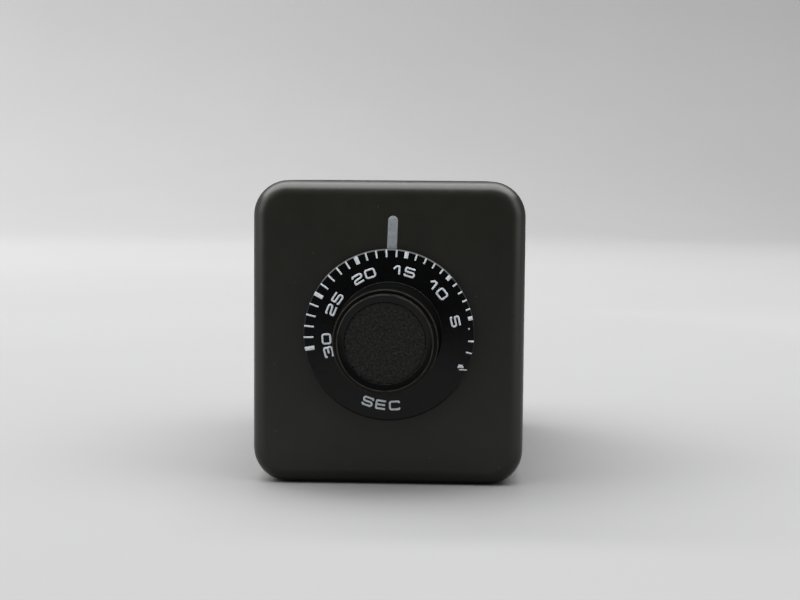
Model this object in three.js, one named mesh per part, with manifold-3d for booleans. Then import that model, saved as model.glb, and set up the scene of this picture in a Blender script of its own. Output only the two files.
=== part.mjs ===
// Plug-in time-delay relay with a dial knob, an interval timer for a relay panel.
//
// A moulded dust cover snaps over an eight-pin plug base. The knob turns a
// potentiometer behind the cover's face, which sets the delay in seconds. Inside,
// a timing circuit on two boards energises a small clapper relay, whose armature
// carries two moving blades between their fixed contacts.
//
// Millimetres, +Z up, knob towards -Y, plug pins towards +Y. The relay lies on the
// lower side of its cover, and the origin is under the middle of its whole length.
// Inside the body group, y is the depth behind the cover's face.

import * as THREE from 'three';
import { mergeVertices } from 'three/addons/utils/BufferGeometryUtils.js';
import Module from 'manifold-3d';

const wasm = await Module();
wasm.setup();

// ---------------------------------------------------------------- dimensions

const GAP = 0.3; // between separate pieces that lie against each other
const SLIDE_GAP = 0.2; // beside a piece that turns or slides
const OVERLAP = 1; // how far a cutting shape or a joined root runs past a face

const COVER = {
  width: 35.8, height: 40.1, depth: 54, wall: 1.3, frontWall: 1.6,
  cornerRadius: 4.65, edgeRadius: 1.9, shaftHoleRadius: 3.7,
};
const MIDDLE_Z = COVER.height / 2;
const DIAL = { x: 0.2, z: MIDDLE_Z }; // the knob's axis, a little to one side of the face's middle

const SNAP = { width: 7, length: 1.8, inset: 1.4, height: 1.0 };

const BASE = {
  flange: 3, spigot: 3, seatRadius: 13, seatRise: 0.8,
  postRadius: 3.95, postLength: 14.2, postChamfer: 0.9,
  keyWidth: 1.9, keyRise: 1.1, keyLength: 13,
  screwBossRadius: 1.9, boardSlotDepth: 1.4,
};
const INNER_FACE = COVER.depth - BASE.spigot;
const REAR_FACE = COVER.depth + BASE.flange;

const PIN = {
  count: 8, circleRadius: 8.73, radius: 1.18, length: 11.1, tipRadius: 0.55,
  tipLength: 0.8, tipBulge: 0.1, inside: 2.5, cupRadius: 0.7, cupDepth: 1.5,
};

const KNOB = {
  skirtRadius: 11.25, skirtGap: 0.45, skirtRim: 0.95, skirtTop: 1.7, skirtChamfer: 0.22,
  footRadius: 7.05, footRise: 0.45, footFlare: 0.1, shoulderRadius: 6.62, shoulderRise: 11.1,
  rimRadius: 6.05, rimChamfer: 0.12, rise: 12.2, dish: 0.2,
  inlayRadius: 5.0, inlayRise: 11.9, inlayThickness: 0.6, boreEnd: 10.4,
};

const SHAFT = {
  radius: 3.175, reach: 10.1, chamfer: 0.4, flatHeight: 2.0, flatLength: 8,
  neckRadius: 1.8, neckBehindRotor: 1.6,
};
const CLIP = { width: 3.0, thickness: 0.45, length: 6.4, bow: 0.2 };

const BOARD = { thickness: 1.6, frontDepth: 8, frontLeft: -15.8, frontRight: 11.5 };
const MAIN_BOARD_X = 12;
const MAIN_BOARD = { low: 4, high: 36.5 };
const FRONT_BOARD = { low: 4.3, high: 36 };
const HEADER = {
  left: 9.2, right: 11.4, low: 28, high: 36, depth: 2.5,
  footReach: 0.4, footInset: 1, footStart: 1.2, footEnd: 1.8,
};

const POT = {
  bushingRadius: 4.7, bushingFront: 2.2, flangeRadius: 8.4, flange: 1,
  nutAcross: 12.7, nutThickness: 2.4, washerRadius: 7.4, washerThickness: 0.45,
  housingRadius: 8.4, housingDepth: 8.2, housingWall: 0.6,
  rotorRadius: 4.8, rotorThickness: 2.0, elementThickness: 1.0, elementRadius: 7.3,
  stopInner: 5.4, stopHalfAngle: 38, lugHalfAngle: 30, lugRadius: 7.2, lugThickness: 1.0,
  lugAngle: 83,
  terminalWidth: 1.4, terminalThickness: 0.4, terminalPitch: 4.6, terminalRoot: 4.5,
  terminalDrop: 4.4, slotHalfWidth: 6.6, slotTop: 3,
  wiperWidth: 1.6, wiperThickness: 0.4, wiperHubRadius: 3.2, wiperReach: 6.4,
  wiperFootRadius: 0.6, wiperFootReach: 5.7,
};
const POT_FLANGE_START = BOARD.frontDepth + BOARD.thickness + GAP;
const POT_HOUSING_START = POT_FLANGE_START + POT.flange + GAP;
const POT_ROTOR_START = POT_HOUSING_START + 2.2;

const RELAY = {
  centreX: -5.4, axisZ: 15, width: 14, armatureFront: 22, armatureThickness: 1.4,
  yokeThickness: 1.6, yokeTop: 24.6, heelLow: 5.3, heelStart: 44.9,
  poleGap: 0.95, poleRadius: 4, poleThickness: 1.2, coreRadius: 2.5,
  bobbinBore: 2.8, bobbinTube: 3.6, bobbinFlange: 7.25, flangeThickness: 1,
  windingInner: 3.85, windingOuter: 6.8,
  armatureLow: 9, armatureHigh: 28.6, bladeSpacing: 7,
};
const RELAY_LEFT = RELAY.centreX - RELAY.width / 2;
const RELAY_RIGHT = RELAY.centreX + RELAY.width / 2;
const ARMATURE_REAR = RELAY.armatureFront + RELAY.armatureThickness;
const POLE_FACE = ARMATURE_REAR + RELAY.poleGap;

const BLADE = {
  width: 3.8, thickness: 0.4, z: 30.3, start: 24.6, end: 39.4,
  buttonDepth: 38, buttonRadius: 1.4, buttonRise: 0.7,
};
const FIXED_CONTACT = {
  stripThickness: 0.4, stripFront: 36.4, tailWidth: 2.4, tailEnd: 46.6,
  openTravel: 1.05, closedGap: 0.15,
};
const CONTACT_BLOCK = { front: 40.8, rear: 44.6, top: 36.2, slotGap: 0.25 };
const CARRIER = { depth: 4.4, bottom: 26.4 };

const SPRING = { x: -14.3, z: 27.2, radius: 1.0, wire: 0.24, turns: 8, start: 24.0, end: 36.8 };
const SPRING_TAB = { width: 2.6, front: 37.4, thickness: 1.4, top: 28.6, armatureDrop: 1.6 };

const SCREW = {
  radius: 0.9, headRadius: 1.7, headHeight: 1.3, domeShare: 0.6, slotWidth: 0.5, slotDepth: 0.5,
  postLength: 7, relayLength: 6,
};
const RELAY_SCREW_Z = 7.2;
const RELAY_SCREW_REACH = 5; // sideways from the relay's centre line
const POST = { x: -14.2, z: 5, radius: 1.6 };

const ELECTROLYTIC = {
  radius: 4, length: 11.6, endBevel: 0.4, grooveStart: 1.4, grooveEnd: 2.4, grooveDepth: 0.3,
};
const FILM_CAPACITOR = { height: 6, length: 10, width: 5 };
const CHIP = {
  low: 0.8, high: 3.7, halfLength: 4.9, halfWidth: 3.2, pinPitch: 2.54, pinWidth: 0.5,
  pinReach: 3.6, pinThickness: 0.8, pinTop: 1.9, pinsPerSide: 4,
};
const TRANSISTOR = { radius: 2.4, legPitch: 1.27, legWidth: 0.5, legLength: 2 };
const DISC = { radius: 3.2, thickness: 2.8, legPitch: 4, legWidth: 0.7, stand: 4 };
const AXIAL_LEAD_RADIUS = 0.35;

const LEAD_RADIUS = 0.55;
const LEAD_STEPS = 3; // along a lead, for each point of its route

// ------------------------------------------------------------------ finishes

const FINISH = {
  coverPlastic: [0x2e2e29, 0.32, 0],
  basePlastic: [0x161514, 0.5, 0],
  knobPlastic: [0x141313, 0.35, 0],
  knobTexture: [0x2c2928, 0.85, 0],
  brass: [0xb39452, 0.35, 1],
  tinned: [0xb9b8b2, 0.4, 1],
  steel: [0x9a9b9c, 0.45, 1],
  zinc: [0xa9a89f, 0.42, 1],
  copperWinding: [0x8a3f1e, 0.4, 0.3],
  nylon: [0xd9d4c4, 0.5, 0],
  phenolic: [0x5b3a22, 0.6, 0],
  boardLaminate: [0x7c7a3c, 0.55, 0],
  blackCase: [0x1b1b1c, 0.5, 0],
  blueSleeve: [0x24447c, 0.4, 0],
  greenCase: [0x2f5b3a, 0.5, 0],
  redDisc: [0x8a2f20, 0.5, 0],
  tanCeramic: [0xb08d63, 0.6, 0],
  leadJacket: [0x8f8f8d, 0.55, 0],
};

function finish([color, roughness, metalness]) {
  return new THREE.MeshStandardMaterial({ color, roughness, metalness });
}

// ------------------------------------------------------------ solid building

const ROUND_SEGMENTS = 48; // for the largest round pieces
const TURN_SEGMENTS = 28;
const SMALL_SEGMENTS = 16; // for pins, screws and holes

function toSolid(geometry) {
  const bare = geometry.clone();
  bare.deleteAttribute('normal');
  bare.deleteAttribute('uv');
  const merged = mergeVertices(bare);
  const vertProperties = new Float32Array(merged.attributes.position.array);
  const triVerts = new Uint32Array(merged.index.array);
  return new wasm.Manifold(new wasm.Mesh({ numProp: 3, vertProperties, triVerts }));
}

function toGeometry(solid) {
  const { vertProperties, triVerts } = solid.getMesh();
  const geometry = new THREE.BufferGeometry();
  geometry.setAttribute('position', new THREE.BufferAttribute(vertProperties, 3));
  geometry.setIndex(new THREE.BufferAttribute(triVerts, 1));
  geometry.computeVertexNormals();
  return geometry;
}

function joined(...geometries) {
  return toGeometry(geometries.map(toSolid).reduce((whole, next) => whole.add(next)));
}

function cut(geometry, ...tools) {
  return toGeometry(tools.map(toSolid).reduce((rest, tool) => rest.subtract(tool), toSolid(geometry)));
}

function block([x0, x1], [y0, y1], [z0, z1]) {
  const geometry = new THREE.BoxGeometry(x1 - x0, y1 - y0, z1 - z0);
  return geometry.translate((x0 + x1) / 2, (y0 + y1) / 2, (z0 + z1) / 2);
}

// Solid turned about the y axis through x = 0, z = 0, from [radius, y] points.
function turned(profile, segments = TURN_SEGMENTS) {
  return new THREE.LatheGeometry(profile.map(([r, y]) => new THREE.Vector2(r, y)), segments);
}

function rod(radius, y0, y1, segments = TURN_SEGMENTS) {
  return turned([[0, y0], [radius, y0], [radius, y1], [0, y1]], segments);
}

function ring(inner, outer, y0, y1, segments = TURN_SEGMENTS) {
  return turned([[inner, y0], [outer, y0], [outer, y1], [inner, y1], [inner, y0]], segments);
}

// Outline drawn as (x, z), extruded from y0 to y1.
function plate(shape, y0, y1, options = {}) {
  const settings = { depth: y1 - y0, bevelEnabled: false, curveSegments: 4, ...options };
  const geometry = new THREE.ExtrudeGeometry(shape, settings);
  return geometry.rotateX(Math.PI / 2).translate(0, y1, 0);
}

// Outline drawn as (y, z), extruded from x0 to x1.
function rail(shape, x0, x1) {
  const settings = { depth: x1 - x0, bevelEnabled: false, curveSegments: 4 };
  const geometry = new THREE.ExtrudeGeometry(shape, settings);
  const axes = new THREE.Matrix4().makeBasis(
    new THREE.Vector3(0, 1, 0), new THREE.Vector3(0, 0, 1), new THREE.Vector3(1, 0, 0));
  return geometry.applyMatrix4(axes).translate(x0, 0, 0);
}

function polygon(points) {
  return new THREE.Shape(points.map(([u, v]) => new THREE.Vector2(u, v)));
}

function roundedOutline(width, height, radius) {
  const u = width / 2 - radius;
  const v = height / 2 - radius;
  const shape = new THREE.Shape();
  shape.absarc(u, v, radius, 0, Math.PI / 2);
  shape.absarc(-u, v, radius, Math.PI / 2, Math.PI);
  shape.absarc(-u, -v, radius, Math.PI, Math.PI * 1.5);
  shape.absarc(u, -v, radius, Math.PI * 1.5, Math.PI * 2);
  return shape;
}

// Ring sector between two radii, centred on an angle measured from +x towards +z.
function sectorOutline(inner, outer, centreDegrees, halfDegrees) {
  const from = THREE.MathUtils.degToRad(centreDegrees - halfDegrees);
  const to = THREE.MathUtils.degToRad(centreDegrees + halfDegrees);
  const shape = new THREE.Shape();
  shape.absarc(0, 0, outer, from, to, false);
  shape.absarc(0, 0, inner, to, from, true);
  return shape;
}

function wireAlong(points, radius, sides, steps) {
  const path = new THREE.CatmullRomCurve3(points.map((point) => new THREE.Vector3(...point)));
  const section = new THREE.Shape();
  for (let side = 0; side < sides; side += 1) {
    const angle = (side / sides) * Math.PI * 2;
    const corner = [Math.cos(angle) * radius, Math.sin(angle) * radius];
    if (side === 0) section.moveTo(...corner);
    else section.lineTo(...corner);
  }
  return new THREE.ExtrudeGeometry(section, { extrudePath: path, steps, bevelEnabled: false });
}

const root = new THREE.Group();
const wholeLength = KNOB.rise + REAR_FACE + BASE.postLength;
const body = new THREE.Group();
body.position.y = KNOB.rise - wholeLength / 2;
root.add(body);

function add(name, geometry, look, x = 0, y = 0, z = 0) {
  const mesh = new THREE.Mesh(geometry, finish(look));
  mesh.name = name;
  mesh.position.set(x, y, z);
  body.add(mesh);
}

// ------------------------------------------------------------------- housing

function snapPosition(side) {
  const wallX = side * COVER.width / 2;
  const end = COVER.depth - SNAP.inset;
  return { wallX, start: end - SNAP.length, end };
}

function coverGeometry() {
  const { width, height, depth, wall, edgeRadius } = COVER;
  const blank = plate(roundedOutline(width, height, COVER.cornerRadius), edgeRadius, depth, {
    bevelEnabled: true,
    bevelThickness: edgeRadius,
    bevelSize: edgeRadius,
    bevelOffset: -edgeRadius,
    bevelSegments: 4,
  });
  const rearTrim = block([-width, width], [depth - SLIDE_GAP, depth + 2 * edgeRadius],
    [-height, height]);
  const hollow = plate(
    roundedOutline(width - 2 * wall, height - 2 * wall, COVER.cornerRadius - wall),
    COVER.frontWall, depth + edgeRadius);
  const shaftHole = rod(COVER.shaftHoleRadius, -OVERLAP, COVER.frontWall + OVERLAP)
    .translate(DIAL.x, 0, DIAL.z - MIDDLE_Z);
  const windows = [-1, 1].map((side) => {
    const { wallX, start, end } = snapPosition(side);
    const reach = [wallX - 2 * wall, wallX + 2 * wall];
    return block(reach, [start, end], [-SNAP.width / 2, SNAP.width / 2]);
  });
  return cut(blank, rearTrim, hollow, shaftHole, ...windows);
}

function pinPlace(number) {
  const angle = ((number - 0.5) / PIN.count) * Math.PI * 2;
  return {
    x: PIN.circleRadius * Math.sin(angle),
    z: MIDDLE_Z - PIN.circleRadius * Math.cos(angle),
  };
}

function baseGeometry() {
  const spigotGap = 2 * (COVER.wall + SLIDE_GAP);
  const spigotWidth = COVER.width - spigotGap;
  const spigotHeight = COVER.height - spigotGap;
  const flange = plate(
    roundedOutline(COVER.width, COVER.height, COVER.cornerRadius), COVER.depth, REAR_FACE);
  const spigot = plate(
    roundedOutline(spigotWidth, spigotHeight, COVER.cornerRadius - spigotGap / 2),
    INNER_FACE, COVER.depth + OVERLAP);
  const root = REAR_FACE - OVERLAP;
  const seat = rod(BASE.seatRadius, root, REAR_FACE + BASE.seatRise, ROUND_SEGMENTS);
  const tip = REAR_FACE + BASE.postLength;
  const post = turned([
    [0, root], [BASE.postRadius, root], [BASE.postRadius, tip - BASE.postChamfer],
    [BASE.postRadius - BASE.postChamfer, tip], [0, tip]]);
  const key = block([-BASE.keyWidth / 2, BASE.keyWidth / 2],
    [root, REAR_FACE + BASE.keyLength], [-BASE.postRadius - BASE.keyRise, 0]);
  const nubs = [-1, 1].map((side) => {
    const { wallX, start, end } = snapPosition(side);
    const inner = wallX - side * (COVER.wall + OVERLAP);
    const outer = wallX - side * (COVER.wall - SNAP.height + SLIDE_GAP);
    const reach = side < 0 ? [outer, inner] : [inner, outer];
    return block(reach, [start + SLIDE_GAP, end - SLIDE_GAP],
      [-SNAP.width / 2 + SLIDE_GAP, SNAP.width / 2 - SLIDE_GAP]);
  });
  const bossLength = INNER_FACE - (RELAY.heelStart + RELAY.yokeThickness) - GAP;
  const bosses = relayScrewPlaces().map(({ x, z }) =>
    rod(BASE.screwBossRadius, INNER_FACE - bossLength, INNER_FACE + OVERLAP)
      .translate(x, 0, z - MIDDLE_Z));
  const solid = joined(flange, spigot, seat, post, key, ...nubs, ...bosses);

  const pinHoles = Array.from({ length: PIN.count }, (_, index) => {
    const { x, z } = pinPlace(index + 1);
    return rod(PIN.radius + SLIDE_GAP, INNER_FACE - OVERLAP, REAR_FACE + 2 * OVERLAP, SMALL_SEGMENTS)
      .translate(x, 0, z - MIDDLE_Z);
  });
  const screwHoles = relayScrewPlaces().map(({ x, z }) =>
    rod(SCREW.radius + SLIDE_GAP, INNER_FACE - bossLength - OVERLAP, COVER.depth, SMALL_SEGMENTS)
      .translate(x, 0, z - MIDDLE_Z));
  const boardSlot = block(
    [MAIN_BOARD_X - SLIDE_GAP, MAIN_BOARD_X + BOARD.thickness + SLIDE_GAP],
    [INNER_FACE - OVERLAP, INNER_FACE + BASE.boardSlotDepth],
    [MAIN_BOARD.low - MIDDLE_Z - SLIDE_GAP, MAIN_BOARD.high - MIDDLE_Z + SLIDE_GAP]);
  return cut(solid, ...pinHoles, ...screwHoles, boardSlot);
}

function pinGeometry() {
  const { radius, tipRadius, tipLength, tipBulge, cupRadius, cupDepth } = PIN;
  const start = INNER_FACE - PIN.inside;
  const end = REAR_FACE + PIN.length;
  return turned([
    [0, start + cupDepth], [cupRadius, start + cupDepth], [cupRadius, start], [radius, start],
    [radius, end - tipLength], [(radius + tipRadius) / 2 + tipBulge, end - tipLength / 3],
    [tipRadius, end], [0, end]], SMALL_SEGMENTS);
}

function addHousing() {
  add('dust_cover', coverGeometry(), FINISH.coverPlastic, 0, 0, MIDDLE_Z);
  add('plug_base', baseGeometry(), FINISH.basePlastic, 0, 0, MIDDLE_Z);
  for (let number = 1; number <= PIN.count; number += 1) {
    const { x, z } = pinPlace(number);
    add(`plug_pin_${number}`, pinGeometry(), FINISH.tinned, x, 0, z);
  }
}

// ---------------------------------------------------------------------- knob

function knobGeometry() {
  const k = KNOB;
  const bore = SHAFT.radius + SLIDE_GAP;
  const pocket = k.inlayRadius + SLIDE_GAP;
  const pocketFloor = k.inlayRise - k.inlayThickness - SLIDE_GAP;
  const rimFront = k.skirtGap + k.skirtRim;
  return turned([
    [0, -pocketFloor], [pocket, -pocketFloor], [pocket, -k.rise + k.dish],
    [k.rimRadius - k.rimChamfer, -k.rise], [k.rimRadius, -k.rise + k.rimChamfer],
    [k.rimRadius, -k.shoulderRise], [k.shoulderRadius, -k.shoulderRise],
    [k.footRadius - k.footFlare, -k.skirtTop - k.footRise],
    [k.footRadius, -k.skirtTop],
    [k.skirtRadius - k.skirtChamfer, -rimFront - k.skirtChamfer], [k.skirtRadius, -rimFront],
    [k.skirtRadius, -k.skirtGap - k.skirtChamfer], [k.skirtRadius - k.skirtChamfer, -k.skirtGap],
    [bore, -k.skirtGap], [bore, -k.boreEnd], [0, -k.boreEnd]], ROUND_SEGMENTS);
}

function clipGeometry() {
  const { thickness, length, bow } = CLIP;
  const rest = SHAFT.flatHeight + SLIDE_GAP;
  const middle = -SHAFT.reach + SHAFT.flatLength / 2;
  const low = new THREE.Shape();
  low.moveTo(middle - length / 2, rest);
  low.quadraticCurveTo(middle, rest + bow, middle + length / 2, rest);
  low.lineTo(middle + length / 2, rest + thickness);
  low.quadraticCurveTo(middle, rest + thickness + bow, middle - length / 2, rest + thickness);
  return rail(low, -CLIP.width / 2, CLIP.width / 2);
}

function shaftGeometry() {
  const neckStart = POT_ROTOR_START - GAP;
  const neckEnd = POT_ROTOR_START + POT.rotorThickness + SHAFT.neckBehindRotor;
  const { radius, reach, chamfer, neckRadius } = SHAFT;
  const bar = turned([
    [0, -reach], [radius - chamfer, -reach], [radius, -reach + chamfer], [radius, neckStart],
    [neckRadius, neckStart], [neckRadius, neckEnd], [0, neckEnd]]);
  const flat = block([-radius, radius], [-reach - OVERLAP, -reach + SHAFT.flatLength],
    [SHAFT.flatHeight, radius + OVERLAP]);
  return cut(bar, flat);
}

function addKnob() {
  add('knob', knobGeometry(), FINISH.knobPlastic, DIAL.x, 0, DIAL.z);
  const inlay = rod(KNOB.inlayRadius, -KNOB.inlayRise, -KNOB.inlayRise + KNOB.inlayThickness,
    ROUND_SEGMENTS);
  add('knob_inlay', inlay, FINISH.knobTexture, DIAL.x, 0, DIAL.z);
  add('knob_clip', clipGeometry(), FINISH.steel, DIAL.x, 0, DIAL.z);
  add('pot_shaft', shaftGeometry(), FINISH.brass, DIAL.x, 0, DIAL.z);
}

// ------------------------------------------------------------- potentiometer

function bushingGeometry() {
  const bore = SHAFT.radius + SLIDE_GAP;
  const flangeEnd = POT_FLANGE_START + POT.flange;
  return turned([
    [bore, POT.bushingFront], [POT.bushingRadius, POT.bushingFront],
    [POT.bushingRadius, POT_FLANGE_START], [POT.flangeRadius, POT_FLANGE_START],
    [POT.flangeRadius, flangeEnd], [bore, flangeEnd], [bore, POT.bushingFront]]);
}

function nutGeometry(start) {
  const corner = POT.nutAcross / Math.sqrt(3);
  const points = Array.from({ length: 6 }, (_, index) => {
    const angle = (index / 6) * Math.PI * 2;
    return [corner * Math.cos(angle), corner * Math.sin(angle)];
  });
  const hex = plate(polygon(points), start, start + POT.nutThickness);
  const end = start + POT.nutThickness + OVERLAP;
  return cut(hex, rod(POT.bushingRadius + SLIDE_GAP, start - OVERLAP, end));
}

function housingGeometry() {
  const start = POT_HOUSING_START;
  const end = start + POT.housingDepth;
  const inner = POT.housingRadius - POT.housingWall;
  const can = turned([
    [0, end - POT.housingWall], [inner, end - POT.housingWall], [inner, start],
    [POT.housingRadius, start], [POT.housingRadius, end], [0, end]]);
  const stop = plate(
    sectorOutline(POT.stopInner, inner + POT.housingWall / 2, -90, POT.stopHalfAngle),
    start, POT_ROTOR_START + POT.lugThickness + SLIDE_GAP);
  const terminalSlot = block([-POT.slotHalfWidth, POT.slotHalfWidth],
    [elementStart() - GAP, elementStart() + POT.elementThickness + GAP],
    [-POT.housingRadius - OVERLAP, -POT.slotTop]);
  return cut(joined(can, stop), terminalSlot);
}

function elementStart() {
  return POT_HOUSING_START + POT.housingDepth - POT.housingWall - GAP - POT.elementThickness;
}

function elementGeometry() {
  const start = elementStart();
  const end = start + POT.elementThickness;
  const wafer = ring(SHAFT.neckRadius + 2 * GAP, POT.elementRadius, start, end);
  const terminalStart = start + (POT.elementThickness - POT.terminalThickness) / 2;
  const terminals = [-1, 0, 1].map((step) => {
    const x = step * POT.terminalPitch;
    const half = POT.terminalWidth / 2;
    return block([x - half, x + half], [terminalStart, terminalStart + POT.terminalThickness],
      [-POT.housingRadius - POT.terminalDrop, -POT.terminalRoot]);
  });
  return joined(wafer, ...terminals);
}

function rotorGeometry() {
  const start = POT_ROTOR_START;
  const bore = SHAFT.neckRadius + SLIDE_GAP;
  const disc = ring(bore, POT.rotorRadius, start, start + POT.rotorThickness);
  const lug = plate(
    sectorOutline(POT.rotorRadius - OVERLAP, POT.lugRadius, POT.lugAngle, POT.lugHalfAngle),
    start, start + POT.lugThickness);
  return joined(disc, lug);
}

function wiperGeometry() {
  const start = POT_ROTOR_START + POT.rotorThickness + GAP;
  const end = start + POT.wiperThickness;
  const half = POT.wiperWidth / 2;
  const hub = ring(SHAFT.neckRadius + SLIDE_GAP, POT.wiperHubRadius, start, end);
  const arm = block([-half, half], [start, end], [POT.wiperHubRadius - GAP, POT.wiperReach]);
  const foot = rod(POT.wiperFootRadius, (start + end) / 2, elementStart() - SLIDE_GAP, SMALL_SEGMENTS)
    .translate(0, 0, POT.wiperFootReach);
  return joined(hub, arm, foot);
}

function addPotentiometer() {
  const washerStart = BOARD.frontDepth - SLIDE_GAP - POT.washerThickness;
  const nutStart = washerStart - SLIDE_GAP - POT.nutThickness;
  const washer = ring(POT.bushingRadius + SLIDE_GAP, POT.washerRadius, washerStart,
    washerStart + POT.washerThickness);
  add('pot_bushing', bushingGeometry(), FINISH.zinc, DIAL.x, 0, DIAL.z);
  add('pot_lock_washer', washer, FINISH.steel, DIAL.x, 0, DIAL.z);
  add('pot_nut', nutGeometry(nutStart), FINISH.zinc, DIAL.x, 0, DIAL.z);
  add('pot_housing', housingGeometry(), FINISH.zinc, DIAL.x, 0, DIAL.z);
  add('pot_element', elementGeometry(), FINISH.phenolic, DIAL.x, 0, DIAL.z);
  add('pot_rotor', rotorGeometry(), FINISH.nylon, DIAL.x, 0, DIAL.z);
  add('pot_wiper', wiperGeometry(), FINISH.brass, DIAL.x, 0, DIAL.z);
}

// -------------------------------------------------------------------- boards

function headerGeometry(boardRear) {
  const { left, right, low, high, depth, footReach, footInset, footStart, footEnd } = HEADER;
  return joined(
    block([left, right], [boardRear + GAP, boardRear + GAP + depth], [low, high]),
    block([right - SLIDE_GAP, right + footReach], [boardRear + footStart, boardRear + footEnd],
      [low + footInset, high - footInset]));
}

function addBoards() {
  const frontEnd = BOARD.frontDepth + BOARD.thickness;
  const frontBoard = cut(
    block([BOARD.frontLeft, BOARD.frontRight], [BOARD.frontDepth, frontEnd],
      [FRONT_BOARD.low, FRONT_BOARD.high]),
    rod(POT.bushingRadius + SLIDE_GAP, BOARD.frontDepth - OVERLAP, frontEnd + OVERLAP)
      .translate(DIAL.x, 0, DIAL.z),
    rod(SCREW.radius + SLIDE_GAP, BOARD.frontDepth - OVERLAP, frontEnd + OVERLAP, SMALL_SEGMENTS)
      .translate(POST.x, 0, POST.z));
  add('front_board', frontBoard, FINISH.boardLaminate);

  const mainBoard = block([MAIN_BOARD_X, MAIN_BOARD_X + BOARD.thickness],
    [BOARD.frontDepth, INNER_FACE + BASE.boardSlotDepth - GAP], [MAIN_BOARD.low, MAIN_BOARD.high]);
  add('main_board', mainBoard, FINISH.boardLaminate);

  add('board_header', headerGeometry(frontEnd), FINISH.blackCase);

  const postEnd = INNER_FACE - GAP;
  const post = cut(rod(POST.radius, frontEnd + GAP, postEnd, SMALL_SEGMENTS),
    rod(SCREW.radius + SLIDE_GAP, frontEnd, frontEnd + SCREW.postLength, SMALL_SEGMENTS));
  add('support_post', post, FINISH.brass, POST.x, 0, POST.z);
  add('support_screw', screwGeometry(SCREW.postLength), FINISH.steel,
    POST.x, BOARD.frontDepth - GAP, POST.z);
}

// Slotted round-head screw, its head in front of y = 0 and its shank behind.
function screwGeometry(length) {
  const { radius, headRadius, headHeight, domeShare, slotWidth, slotDepth } = SCREW;
  const blank = turned([
    [0, -headHeight], [headRadius * domeShare, -headHeight], [headRadius, -headHeight / 2],
    [headRadius, 0], [radius, 0], [radius, length], [0, length]], SMALL_SEGMENTS);
  const slot = block([-headRadius, headRadius], [-headHeight - OVERLAP, -headHeight + slotDepth],
    [-slotWidth / 2, slotWidth / 2]);
  return cut(blank, slot);
}

// --------------------------------------------------------------------- relay

function relayScrewPlaces() {
  return [-1, 1].map((side) => ({
    x: RELAY.centreX + side * RELAY_SCREW_REACH, z: RELAY_SCREW_Z }));
}

function yokeGeometry() {
  const { yokeThickness, yokeTop, heelLow, heelStart } = RELAY;
  const heelEnd = heelStart + yokeThickness;
  const angle = rail(polygon([
    [ARMATURE_REAR + GAP, yokeTop - yokeThickness], [heelStart, yokeTop - yokeThickness],
    [heelStart, heelLow], [heelEnd, heelLow], [heelEnd, yokeTop], [ARMATURE_REAR + GAP, yokeTop]]),
    RELAY_LEFT, RELAY_RIGHT);
  const tabRear = SPRING_TAB.front + SPRING_TAB.thickness;
  const tab = block([RELAY_LEFT - SPRING_TAB.width, RELAY_LEFT + OVERLAP],
    [SPRING_TAB.front, tabRear], [yokeTop - yokeThickness, SPRING_TAB.top]);
  const screwHoles = relayScrewPlaces().map(({ x, z }) =>
    rod(SCREW.radius + SLIDE_GAP, heelStart - OVERLAP, heelEnd + OVERLAP, SMALL_SEGMENTS)
      .translate(x, 0, z));
  return cut(joined(angle, tab), ...screwHoles);
}

function armatureGeometry() {
  const { armatureFront, armatureLow, armatureHigh } = RELAY;
  const plateBody = block([RELAY_LEFT, RELAY_RIGHT], [armatureFront, ARMATURE_REAR],
    [armatureLow, armatureHigh]);
  const tab = block([RELAY_LEFT - SPRING_TAB.width, RELAY_LEFT + OVERLAP],
    [armatureFront, ARMATURE_REAR], [armatureHigh - SPRING_TAB.armatureDrop, armatureHigh]);
  return joined(plateBody, tab);
}

function bobbinGeometry() {
  const start = POLE_FACE + RELAY.poleThickness + GAP;
  const end = RELAY.heelStart - GAP;
  const { bobbinBore, bobbinTube, bobbinFlange, flangeThickness } = RELAY;
  return turned([
    [bobbinBore, start], [bobbinFlange, start], [bobbinFlange, start + flangeThickness],
    [bobbinTube, start + flangeThickness], [bobbinTube, end - flangeThickness],
    [bobbinFlange, end - flangeThickness], [bobbinFlange, end], [bobbinBore, end],
    [bobbinBore, start]]);
}

function addMagnet() {
  const windingStart = POLE_FACE + RELAY.poleThickness + RELAY.flangeThickness + 2 * GAP;
  const windingEnd = RELAY.heelStart - RELAY.flangeThickness - 2 * GAP;
  const core = turned([
    [0, POLE_FACE], [RELAY.poleRadius, POLE_FACE],
    [RELAY.poleRadius, POLE_FACE + RELAY.poleThickness],
    [RELAY.coreRadius, POLE_FACE + RELAY.poleThickness],
    [RELAY.coreRadius, RELAY.heelStart - GAP], [0, RELAY.heelStart - GAP]]);
  const winding = ring(RELAY.windingInner, RELAY.windingOuter, windingStart, windingEnd);
  add('relay_yoke', yokeGeometry(), FINISH.steel);
  add('relay_core', core, FINISH.steel, RELAY.centreX, 0, RELAY.axisZ);
  add('coil_bobbin', bobbinGeometry(), FINISH.nylon, RELAY.centreX, 0, RELAY.axisZ);
  add('coil_winding', winding, FINISH.copperWinding, RELAY.centreX, 0, RELAY.axisZ);
  relayScrewPlaces().forEach(({ x, z }, index) => {
    add(`relay_screw_${index + 1}`, screwGeometry(SCREW.relayLength), FINISH.steel,
      x, RELAY.heelStart - GAP, z);
  });
}

function contactPlaces() {
  const rest = BLADE.z - BLADE.buttonRise;
  const open = BLADE.z + BLADE.thickness + BLADE.buttonRise + FIXED_CONTACT.openTravel;
  return [
    { name: 'normally_closed', face: rest - FIXED_CONTACT.closedGap, side: -1 },
    { name: 'normally_open', face: open, side: 1 },
  ];
}

// Upper and lower z of the strip that carries a fixed contact's button.
function stripSpan({ face, side }) {
  const near = face + side * BLADE.buttonRise;
  const far = near + side * FIXED_CONTACT.stripThickness;
  return [Math.min(near, far), Math.max(near, far)];
}

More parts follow.
